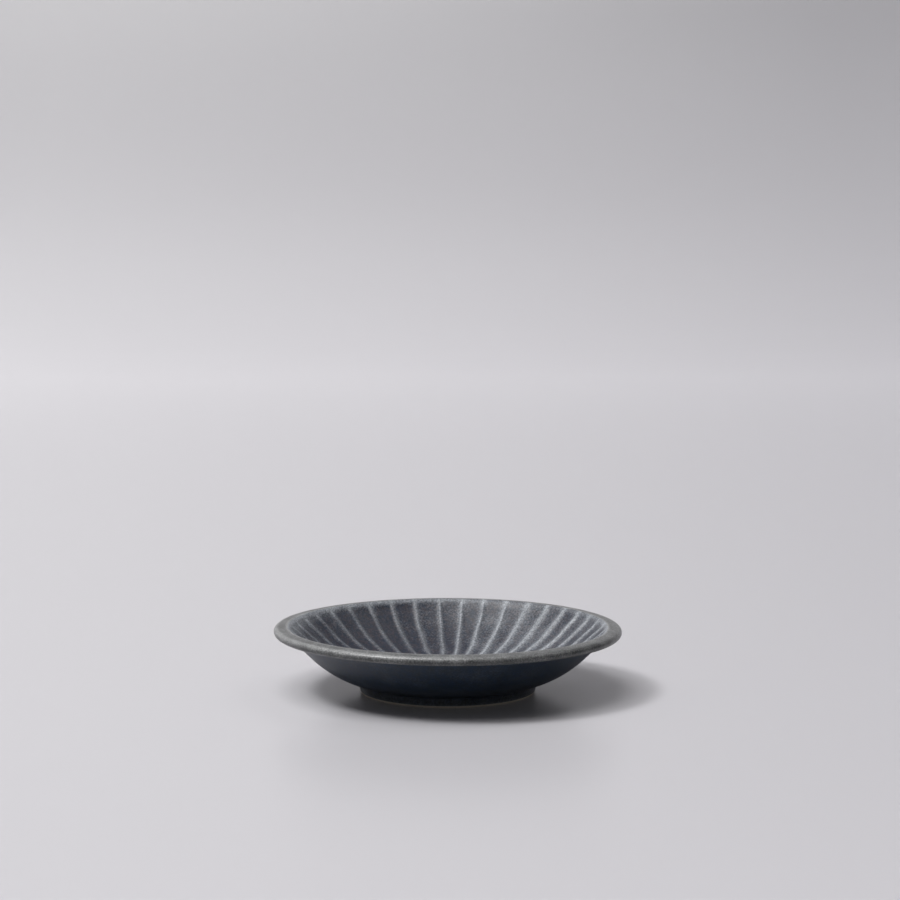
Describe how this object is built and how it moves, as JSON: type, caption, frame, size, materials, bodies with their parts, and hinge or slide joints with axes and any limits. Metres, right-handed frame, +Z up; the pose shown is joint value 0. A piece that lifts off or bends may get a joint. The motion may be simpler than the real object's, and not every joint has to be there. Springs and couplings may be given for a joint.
{
  "type": "soy sauce dish",
  "caption": "Low round stoneware dish with a rolled lip, fluted inside and foot ring, in dark blue-grey glaze; holds a little soy sauce or condiment.",
  "frame": {"origin": "middle of the foot ring's resting face", "axes": "+Z up along the dish's axis; +Y towards the back of the pictured view"},
  "size_m": [0.097, 0.097, 0.0188],
  "materials": {
    "clay": "unglazed fired stoneware, matt",
    "inside_glaze": "satin dark blue-grey glaze, paler over the ridges",
    "rim_glaze": "satin glaze broken pale grey over the lip",
    "outside_glaze": "satin blue-black glaze"
  },
  "bodies": {
    "root": {"bowl_body": "clay", "rim_roll": "clay", "foot_ring": "clay", "inside_glaze": "inside_glaze", "rim_glaze": "rim_glaze", "outside_glaze": "outside_glaze", "underside_glaze": "outside_glaze"}
  },
  "joints": []
}
